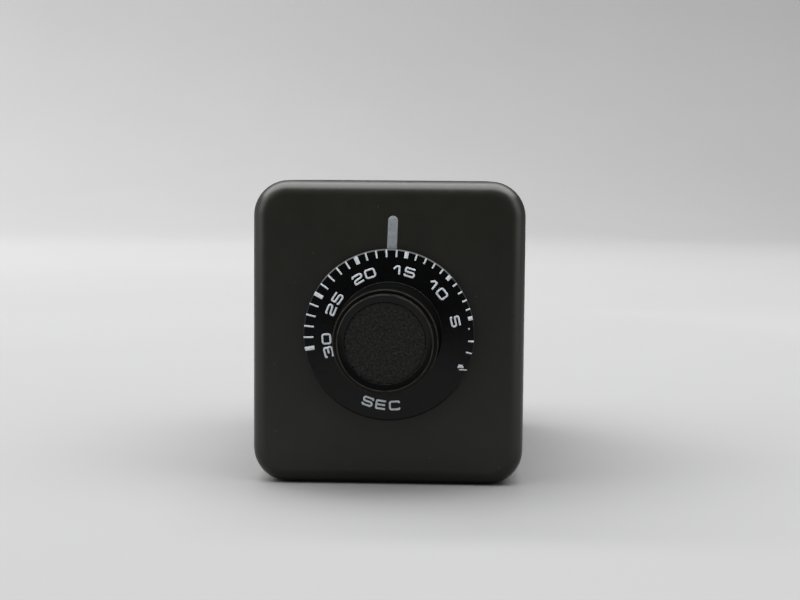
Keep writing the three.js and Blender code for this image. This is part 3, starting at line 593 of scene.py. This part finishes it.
def glyph_strokes(symbol):
    """The strokes of one character, as (path, closed), about its own middle."""
    right = (GLYPH_WIDTH - GLYPH_STROKE) / 2
    left = -right
    top = (GLYPH_HEIGHT - GLYPH_STROKE) / 2
    low = -top
    hook = 0.22
    soft = 0.26
    tight = 0.12
    inner = left + GLYPH_STROKE / 2
    narrow = right - 0.22

    def open_path(*points):
        return filleted(points, soft, 5, closed=False), False

    shapes = {
        "0": [(filleted([(left, low), (right, low), (right, top), (left, top)], soft, 5), True)],
        "1": [open_path((-0.42, top - 0.36), (-0.04, top, 0.08), (0.32, top, 0.08), (0.32, low))],
        "2": [open_path((left, top - hook), (left, top), (right, top), (right, 0.03), (left, -0.08),
                        (left, low, tight), (right, low))],
        "3": [open_path((left, top - hook), (left, top), (right, top), (right, 0.0), (-0.2, 0.0)),
              open_path((0.3, 0.0), (right, 0.0), (right, low), (left, low), (left, low + hook))],
        "4": [open_path((narrow, low), (narrow, top, tight), (left, -0.2, tight), (narrow, -0.2))],
        "5": [open_path((right, top), (left, top, tight), (left, 0.02, tight), (right, 0.02), (right, low),
                        (left, low), (left, low + hook))],
        "6": [open_path((right, top - hook), (right, top), (left, top), (left, low), (right, low),
                        (right, 0.05), (inner, 0.05))],
        "7": [open_path((left, top), (right, top, tight), (0.0, low))],
        "8": [(filleted([(left, low), (right, low), (right, top), (left, top)], soft, 5), True),
              open_path((inner, 0.0), (right - GLYPH_STROKE / 2, 0.0))],
        "S": [open_path((right, top - hook), (right, top), (left, top), (left, 0.0), (right, 0.0),
                        (right, low), (left, low), (left, low + hook))],
        "E": [open_path((right, top), (left, top, tight), (left, low, tight), (right, low)),
              open_path((inner, 0.0), (right - 0.06, 0.0))],
        "C": [open_path((right, top - hook), (right, top), (left, top), (left, low), (right, low),
                        (right, low + hook))],
    }
    return shapes[symbol]


def skirt_height(radius):
    """Height over the face of the dial's printed surface at a distance from its axis."""
    share = (radius - FOOT_RADIUS) / (SKIRT_RADIUS - FOOT_RADIUS)
    return FOOT_HEIGHT + (SKIRT_EDGE_HEIGHT - FOOT_HEIGHT) * min(max(share, 0), 1)


def on_dial(degrees, radius, inward=False):
    """A placing function for marks at an angle, clockwise from up, round the printed scale."""
    angle = math.radians(degrees)
    out = Vector((math.sin(angle), math.cos(angle)))
    across = Vector((math.cos(angle), -math.sin(angle)))
    centre = Vector((DIAL_X + PRINT_OFFSET, DIAL_Z)) + out * radius
    if inward:
        out, across = -out, -across
    axis = Vector((DIAL_X, DIAL_Z))

    def place(u, v, height):
        point = centre + across * u + out * v
        level = skirt_height((point - axis).length)
        return (point.x, FACE_Y - level - height, point.y)

    return place


def scale_angle(seconds):
    """Where a delay stands on the scale, in degrees clockwise from the index at rest."""
    return SCALE_ZERO - SCALE_STEP * seconds - SCALE_BEND * seconds ** 2


def write_round(skin, text, degrees, radius, advance, inward=False):
    """Writes characters along an arc, each one square to it."""
    step = math.degrees(advance / radius) * (-1 if inward else 1)
    first = degrees - step * (len(text) - 1) / 2
    for i, symbol in enumerate(text):
        place = on_dial(first + step * i, radius, inward)
        for order, (path, closed) in enumerate(glyph_strokes(symbol)):
            add_stroke(skin, place, path, GLYPH_STROKE, closed, lift=INK_LAYER * order)


def add_tick(skin, degrees, width, start=TICK_START, end=None):
    """A radial mark from start to end, or out to the edge of the dial if no end is given."""
    angle = math.radians(degrees)
    reach = PRINT_OFFSET * math.sin(angle)
    stop = end or TICK_END - reach
    middle = (start + stop) / 2
    half = (stop - start) / 2
    path = [(0, -half), (0, -half * 0.3), (0, half * 0.3), (0, half)]
    add_stroke(skin, on_dial(degrees, middle), path, width)


def add_stop_mark(skin):
    """The mark at the scale's low end: half a disc with a bar lying along its flat side."""
    place = on_dial(STOP_ANGLE, STOP_RADIUS)
    along = Vector((-0.4, 0.916)).normalized()
    away = Vector((-along.y, along.x))
    for share in (0.25, 0.7):
        reach = STOP_SIZE * math.sqrt(1 - share ** 2) * 0.9
        middle = away * STOP_SIZE * share
        path = [middle - along * reach, middle, middle + along * reach]
        add_stroke(skin, place, path, STOP_SIZE * 0.5, lift=INK_LAYER * share)
    bar = along * 0.33 - away * 0.22
    half_length, width = 0.52, 0.16
    add_stroke(skin, place, [bar - along * half_length, bar, bar + along * half_length], width)


def build_scale(material):
    """The dial's print: marks and numerals, three worn marks below the first, and the unit."""
    skin = Skin()
    for seconds in range(FIRST_SECONDS, LAST_SECONDS + 1):
        width = TICK_WIDTH if seconds % NUMERAL_STEP else LONG_TICK_WIDTH
        add_tick(skin, scale_angle(seconds), width)
    for seconds in range(FIRST_SECONDS, LAST_SECONDS + 1, NUMERAL_STEP):
        write_round(skin, str(seconds), scale_angle(seconds), NUMERAL_RADIUS, GLYPH_ADVANCE)
    add_tick(skin, 84.8, TICK_WIDTH, start=10.05, end=10.2)
    add_tick(skin, 93.9, TICK_WIDTH, start=10.0, end=10.75)
    add_tick(skin, 102.4, THIN_TICK_WIDTH, start=9.95, end=10.7)
    add_stop_mark(skin)
    write_round(skin, "SEC", UNIT_ANGLE, UNIT_RADIUS, UNIT_ADVANCE, inward=True)
    skin.piece("dial_scale", material, "dial_knob")


def build_index(material):
    """The index mark above the dial: a printed bar with a round top, leaning a little."""
    half = INDEX_WIDTH / 2
    low, high = DIAL_Z + INDEX_START, DIAL_Z + INDEX_END
    lean = math.tan(math.radians(INDEX_LEAN))
    corners = [(-half, low, 0), (half, low, 0), (half, high), (-half, high)]
    outline = filleted(corners, half * 0.98, 8)
    middle = DIAL_X + INDEX_OFFSET
    loops = []
    for height, crown in ((-INK_ROOT, 1.0), (INK * INK_SIDE, 1.0), (INK, 0.9)):
        loops.append([(middle + x * crown + (z - low) * lean, FACE_Y - height, z) for x, z in outline])
    Skin().loft(loops).piece("index_mark", material, "housing")


# ------------------------------------------------------------------------------- knob

def paint_ring(piece, material, radius, height):
    """Gives the faces close to one ring round the dial's axis a material of their own."""
    reach = 0.12
    slot = len(piece.data.materials)
    piece.data.materials.append(material)
    for face in piece.data.polygons:
        x, y, z = face.center / MM
        off = math.hypot(math.hypot(x - DIAL_X, z - DIAL_Z) - radius, FACE_Y - y - height)
        if off < reach:
            face.material_index = slot


def paint_side(piece, material):
    """Gives the knob's upright side a material of its own."""
    slot = len(piece.data.materials)
    piece.data.materials.append(material)
    for face in piece.data.polygons:
        rise = FACE_Y - face.center.y / MM
        if FOOT_HEIGHT < rise < KNOB_RISE and abs(face.normal.y) < 0.3 and face.material_index == 0:
            face.material_index = slot


def build_knob(material, edge_highlight_material, side_material):
    def at(height):
        return FACE_Y - height

    edge = 0.2
    pocket_floor = INLAY_HEIGHT - INLAY_THICKNESS - 0.1
    profile = [
        (0, at(pocket_floor)),
        (POCKET_RADIUS, at(pocket_floor), 0.05),
        (POCKET_RADIUS, at(INLAY_HEIGHT + 0.02), 0.04),
        (RIM_RADIUS - EDGE_STRIP, at(KNOB_RISE - 0.01), 0),
        (RIM_RADIUS, at(KNOB_RISE), 0.07),
        (RIM_RADIUS, at(SHOULDER_HEIGHT), 0.05),
        (SHOULDER_RADIUS - EDGE_STRIP, at(SHOULDER_HEIGHT), 0),
        (SHOULDER_RADIUS, at(SHOULDER_HEIGHT), 0.07),
        (FOOT_RADIUS - 0.12, at(FOOT_HEIGHT), 0.05),
        (SKIRT_RADIUS - edge, at(SKIRT_EDGE_HEIGHT), 0.12),
        (SKIRT_RADIUS, at(SKIRT_EDGE_HEIGHT - edge), 0.12),
        (SKIRT_RADIUS, at(SKIRT_BACK), edge),
        (BORE_RADIUS, at(SKIRT_BACK), 0.15),
        (BORE_RADIUS, at(BORE_HEIGHT), 0.1),
        (0, at(BORE_HEIGHT)),
    ]
    skin = Skin().turn(filleted(profile, 0.1, 5, closed=False), (DIAL_X, DIAL_Z), segments=160)
    knob = skin.piece("dial_knob", material, "dial_knob", sharp_degrees=50)
    # a lighter matt ring on each end edge: painted highlight
    paint_ring(knob, edge_highlight_material, RIM_RADIUS - EDGE_STRIP / 4, KNOB_RISE)
    paint_ring(knob, edge_highlight_material, SHOULDER_RADIUS - EDGE_STRIP / 4, SHOULDER_HEIGHT)
    paint_side(knob, side_material)
    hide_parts("knob")


def grain_at(x, z):
    """The insert's relief: a coarse grain with a finer one over it."""
    coarse = noise.noise(Vector((x, z, 3.1)) * 5.0) * 0.04
    fine = noise.noise(Vector((x, z, 8.7)) * 9.0) * 0.03
    return coarse + fine


def build_inlay(material):
    """The pressed insert in the knob's end: a grained disc with a finely scalloped edge."""
    rings, segments = 84, 320
    front = FACE_Y - INLAY_HEIGHT
    lobes, lobe_height, lobe_start = 58, 0.03, 0.9
    side_gap, rim_depth, edge_drop = 0.05, 0.16, 0.05
    rows = []
    for ring in range(rings + 1):
        share = ring / rings
        row = []
        for i in range(segments):
            angle = math.tau * i / segments
            scalloped = max(0, share - lobe_start) / (1 - lobe_start)
            scallop = lobe_height * math.cos(lobes * angle) * scalloped
            radius = share * (POCKET_RADIUS - side_gap + scallop)
            x, z = radius * math.sin(angle), radius * math.cos(angle)
            grain = grain_at(x, z) * min(1, share * 8)
            row.append((DIAL_X + x, front - grain + edge_drop * share ** 12, DIAL_Z + z))
        rows.append(row)
    back = [(x, front + INLAY_THICKNESS, z) for x, _, z in rows[-1]]
    rim = [(x, front + rim_depth, z) for x, _, z in rows[-1]]
    centre = [(DIAL_X, front + INLAY_THICKNESS, DIAL_Z)] * segments
    skin = Skin().loft([*rows, rim, back, centre])
    inlay = skin.piece("knob_insert", material, "dial_knob", sharp_degrees=180)
    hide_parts("knob_inlay")


# ------------------------------------------------------------------------- plug base

def pin_place(number):
    angle = (number - 0.5) / PIN_COUNT * math.tau
    return PIN_CIRCLE * math.sin(angle), MIDDLE_Z - PIN_CIRCLE * math.cos(angle)


def pin_collar(number):
    """The low moulded ring round one pin, with the pin's own clearance in it."""
    inner, outer, height = PIN_RADIUS + 0.12, PIN_RADIUS + 0.75, 0.35
    low, high = SEAT_REAR - SINK, SEAT_REAR + height
    section = filleted([(inner, low), (outer, low), (outer, high), (inner, high)], 0.12, 3)
    return Skin().turn(section, pin_place(number), 40, wrap=True).piece("collar", None, None)


def post_key():
    """The key along the lower side of the post, rounded at its edges and at its end."""
    low, high = MIDDLE_Z - POST_RADIUS - KEY_RISE, MIDDLE_Z - POST_RADIUS + 0.6
    end = FLANGE_REAR + KEY_LENGTH
    loops = []
    for y, inset in ((SEAT_REAR - SINK, 0), (end - 0.6, 0), (end - 0.15, 0.15), (end, 0.5)):
        half = KEY_WIDTH / 2 - inset
        corners = [(half, high, 0), (-half, high, 0), (-half, low + inset), (half, low + inset)]
        loops.append([(x, y, z) for x, z in filleted(corners, 0.3, 4)])
    return Skin().loft(loops).piece("key", None, None)


def snap_nub(side):
    """A wedge on the base's spigot that snaps into a window of the cover."""
    wall = side * HALF_WIDTH
    root, crest = wall - side * (COVER_WALL + 0.7), wall - side * 0.5
    slope_start = wall - side * COVER_WALL
    slack = 0.2
    end = COVER_HIGH.y - SNAP_INSET - slack
    start = end - SNAP_LENGTH + 2 * slack
    half = SNAP_WIDTH / 2 - slack
    flat = 0.5
    corners = [(root, start, 0), (root, end, 0), (crest, end), (crest, end - flat), (slope_start, start, 0)]
    section = filleted(corners, 0.12, 3)
    loops = [[(x, y, MIDDLE_Z + z) for x, y in section] for z in (-half, half)]
    return Skin().loft(loops).piece("nub", None, None)


def build_pin_numbers(material):
    """Raised moulded numbers, counted clockwise from the key as seen on the plug side."""
    skin = Skin()
    for number in range(1, PIN_COUNT + 1):
        x, z = pin_place(number)
        out = Vector((x, z - MIDDLE_Z)).normalized()
        across = Vector((-out.y, out.x))
        centre = out * PIN_NUMBER_RADIUS

        def place(u, v, height):
            point = centre + (across * u + out * v) * PIN_NUMBER_SCALE
            return (point.x, SEAT_REAR + height * PIN_NUMBER_RELIEF, MIDDLE_Z + point.y)

        for path, closed in glyph_strokes(str(number)):
            add_stroke(skin, place, path, GLYPH_STROKE, closed)
    skin.piece("pin_numbers", material, "housing")


def build_base(material):
    """The base: spigot and flange, a seat with a shallow groove, the key post, collars and nubs."""
    inside = BASE_LOW.y
    tip = BASE_HIGH.y
    edge, bevel, small_bevel = 0.45, 0.2, 0.15
    spigot = COVER_WALL + 0.2
    rim, hollow = 1.5, 1.2
    loops = [
        cover_loop(spigot + rim + 0.1, inside + hollow),
        cover_loop(spigot + rim, inside),
        cover_loop(spigot + bevel, inside),
        cover_loop(spigot, inside + bevel),
        cover_loop(spigot, FLANGE_FRONT),
        cover_loop(small_bevel, FLANGE_FRONT),
        cover_loop(0, FLANGE_FRONT + small_bevel),
        cover_loop(0, FLANGE_REAR - edge),
        cover_loop(edge * 0.3, FLANGE_REAR - edge * 0.3),
        cover_loop(edge, FLANGE_REAR),
    ]
    plate = Skin().loft(loops).piece("plug_base_body", material, None)
    seat_root = FLANGE_REAR - 3 * SINK
    groove_floor = SEAT_REAR - 0.2
    profile = [
        (0, seat_root),
        (SEAT_RADIUS, seat_root, 0.2),
        (SEAT_RADIUS, SEAT_REAR, 0.25),
        (SEAT_GROOVE_RADIUS, SEAT_REAR, 0.08),
        (SEAT_GROOVE_RADIUS - 0.1, groove_floor, 0.08),
        (SEAT_GROOVE_RADIUS - 0.3, groove_floor, 0.08),
        (SEAT_GROOVE_RADIUS - 0.4, SEAT_REAR, 0.08),
        (POST_RADIUS, SEAT_REAR, 0.4),
        (POST_RADIUS, tip - POST_BEVEL, 0.3),
        (POST_RADIUS - POST_BEVEL, tip, 0.25),
        (0, tip),
    ]
    outline = filleted(profile, 0, 5, closed=False)
    seat = Skin().turn(outline, (0, MIDDLE_Z)).piece("seat", material, None)
    collars = [pin_collar(number) for number in range(1, PIN_COUNT + 1)]
    nubs = [snap_nub(side) for side in (-1, 1)]
    combine(plate, "UNION", [seat, post_key(), *collars, *nubs])
    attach(plate, "housing")
    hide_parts("plug_base")


def build_pins(material):
    for number in range(1, PIN_COUNT + 1):
        low, high = box_mm(f"plug_pin_{number}")
        profile = [
            (0, low.y + CUP_DEPTH),
            (CUP_RADIUS, low.y + CUP_DEPTH, 0.1),
            (CUP_RADIUS, low.y, 0.1),
            (PIN_RADIUS, low.y, 0.1),
            (PIN_RADIUS, high.y - 1.1, 0.8),
            (0.78, high.y - 0.25, 0.3),
            (0.45, high.y, 0.2),
            (0, high.y),
        ]
        skin = Skin().turn(filleted(profile, 0, 5, closed=False), pin_place(number), 48)
        pin = skin.piece(f"tinned_pin_{number}", material, "housing")
        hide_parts(f"plug_pin_{number}")


# ------------------------------------------------------------------------ inner parts

def dress_inner_parts():
    """Gives the CAD nodes that still show a material each, by the start of their names."""
    brass = metal("brass", (0.58, 0.4, 0.16), 0.25, 0.45)
    steel = metal("steel", (0.42, 0.42, 0.41), 0.3, 0.5, stretch=(1, 0.1, 1))
    zinc = metal("zinc", (0.46, 0.46, 0.42), 0.35, 0.5, grain=0.9)
    spring = metal("spring_steel", (0.36, 0.36, 0.37), 0.25, 0.35)
    nylon = plain_plastic("nylon", (0.62, 0.59, 0.48), 0.4, 0.55)
    phenolic = plain_plastic("phenolic", (0.09, 0.04, 0.018), 0.45, 0.65, spread=0.3)
    black_case = plain_plastic("black_case", (0.012, 0.012, 0.012), 0.4, 0.6)
    board = board_laminate()
    looks = {
        "knob_clip": spring, "pot_shaft": brass, "pot_bushing": zinc, "pot_lock_washer": steel,
        "pot_nut": zinc, "pot_housing": zinc, "pot_element": phenolic, "pot_rotor": nylon,
        "pot_wiper": brass, "front_board": board, "main_board": board, "board_header": black_case,
        "support_post": brass, "support_screw": steel, "relay_yoke": steel, "relay_core": steel,
        "relay_screw": steel, "coil_bobbin": nylon, "coil_winding": copper_winding(),
        "armature": steel, "contact_carrier": phenolic, "contact_block": phenolic,
        "return_spring": spring, "moving_blade": brass, "normally": brass,
        "filter_capacitor": plain_plastic("blue_sleeve", (0.018, 0.06, 0.2), 0.3, 0.45),
        "timing_capacitor": plain_plastic("green_case", (0.03, 0.1, 0.045), 0.4, 0.55),
        "timer_chip": black_case, "output_transistor": black_case, "rectifier_diode": black_case,
        "dropping_resistor": plain_plastic("ceramic", (0.55, 0.5, 0.4), 0.6, 0.8),
        "timing_resistor": plain_plastic("tan_body", (0.43, 0.27, 0.13), 0.45, 0.6),
        "surge_suppressor": plain_plastic("red_disc", (0.25, 0.03, 0.012), 0.4, 0.55),
        "lead": plain_plastic("lead_jacket", (0.27, 0.27, 0.265), 0.45, 0.6),
    }
    for name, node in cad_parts.items():
        match = next((look for start, look in looks.items() if name.startswith(start)), None)
        if match and not node.hide_render:
            node.data.materials.clear()
            node.data.materials.append(match)


# ------------------------------------------------------------------------------ stage

def build_camera():
    """Straight on to the face, a little above it and a little to the right."""
    camera = bpy.data.cameras.new("camera")
    camera.lens = CAMERA_LENS
    camera.sensor_width = 36
    camera.clip_start = 0.01
    rig = bpy.data.objects.new("camera", camera)
    bpy.context.scene.collection.objects.link(rig)
    place = Matrix.Translation(Vector(CAMERA_PLACE) * MM)
    turn = Matrix.Rotation(math.radians(CAMERA_LEFT), 4, "Z")
    tilt = Matrix.Rotation(math.radians(90 - CAMERA_DOWN), 4, "X")
    roll = Matrix.Rotation(math.radians(CAMERA_ROLL), 4, "Z")
    rig.matrix_world = place @ turn @ tilt @ roll
    bpy.context.scene.camera = rig


def paper(name, shade):
    """Matt grey paper of one lightness."""
    finish = Finish(name, roughness=0.9, specular=0.0)
    finish.mottled((shade, shade, shade), size=180, spread=0.015)
    finish.bump(finish.noise(1.5, detail=3), 0.01, strength=0.3)
    return finish.done()


def build_stage():
    """A round paper sweep: a flat floor that curves up into a wall on every side."""
    floor_radius, bend, top = 900, 700, 1500
    bend_steps, segments = 16, 96
    profile = [(0.0, 0.0), (floor_radius * 0.5, 0.0), (floor_radius, 0.0)]
    for k in range(1, bend_steps + 1):
        angle = math.radians(90) * k / bend_steps
        profile.append((floor_radius + bend * math.sin(angle), bend * (1 - math.cos(angle))))
    profile.append((floor_radius + bend, top))
    loops = [
        [(r * math.sin(math.tau * i / segments), r * math.cos(math.tau * i / segments), z)
         for i in range(segments)]
        for r, z in profile
    ]
    skin = Skin().loft(loops)
    skin.faces = [face for face in skin.faces if len(face) == 4]  # leaves out the two caps
    skin.piece("paper_sweep", paper("paper", 0.138), None)
    add_card("black_card", front=-170, stand=-270, reach=140, top=140, shade=0.02)
    add_card("grey_card", front=260, stand=330, reach=400, top=400, shade=0.05)


def add_card(name, front, stand, reach, top, shade):
    """A card on the floor, bent up at stand, that only shows in reflections of the object."""
    points = [(x, y, z) for y, z in ((front, 1), (stand, 1), (stand, top)) for x in (-reach, reach)]
    faces = [(0, 1, 3, 2), (2, 3, 5, 4)]
    card = make_piece(name, points, faces, paper(name, shade), None)
    card.visible_camera = False
    card.visible_diffuse = False
    card.visible_shadow = False


def area_light(name, place, target, size, power):
    light = bpy.data.lights.new(name, "AREA")
    light.shape = "RECTANGLE"
    light.size, light.size_y = (s * MM for s in size)
    light.energy = power
    lamp = bpy.data.objects.new(name, light)
    bpy.context.scene.collection.objects.link(lamp)
    lamp.location = Vector(place) * MM
    aim = Vector(target) * MM - lamp.location
    lamp.rotation_euler = aim.to_track_quat("-Z", "Y").to_euler()
    return lamp


def panel(name, place, target, size, radiance):
    """A soft panel of one brightness, whatever its size."""
    power = radiance * math.pi * size[0] * size[1] * MM ** 2
    return area_light(name, place, target, size, power)


def overhead_panel(name, front, rear, radiance):
    """A soft panel that hangs level over the stage, from front to rear."""
    left, right, height = -1200, 900, 800
    x, y = (left + right) / 2, (front + rear) / 2
    return panel(name, (x, y, height), (x, y, 0), (right - left, rear - front), radiance)


def build_lights():
    """A bright ceiling, a dim one behind it, a panel on each side, and two lamps for the paper."""
    overhead_panel("ceiling_panel", front=-480, rear=350, radiance=8.2)
    overhead_panel("rear_glow", front=400, rear=1000, radiance=1.6)
    rear_panel = overhead_panel("rear_panel", front=370, rear=990, radiance=4.4)
    for name, side, radiance in (("left_panel", -1, 2.7), ("right_panel", 1, 2.3)):
        panel(name, place=(side * 560, -280, 240), target=(0, -30, 20), size=(480, 420), radiance=radiance)
    wall_wash = area_light(
        "wall_wash", place=(-500, 700, 900), target=(-500, 1000, 0), size=(1400, 300), power=40
    )
    for lamp in (rear_panel, wall_wash):
        lamp.visible_glossy = False  # lights the paper without a reflection on the object
    world = bpy.data.worlds.new("world")
    world.use_nodes = True
    background = world.node_tree.nodes["Background"]
    background.inputs["Color"].default_value = (0.9, 0.95, 1.0, 1)
    background.inputs["Strength"].default_value = 0.3
    bpy.context.scene.world = world
    bpy.context.scene.view_settings.view_transform = "Standard"


# ------------------------------------------------------------------------------ build

build_camera()
build_cover(cover_plastic())
build_index(index_ink())
build_knob(knob_plastic(), knob_edge(), knob_side())
build_inlay(inlay_texture())
build_scale(dial_ink())
moulding = base_phenolic()
build_base(moulding)
build_pin_numbers(moulding)
build_pins(metal("tinned", (0.55, 0.54, 0.5), 0.3, 0.5, grain=0.7))
dress_inner_parts()
build_stage()
build_lights()
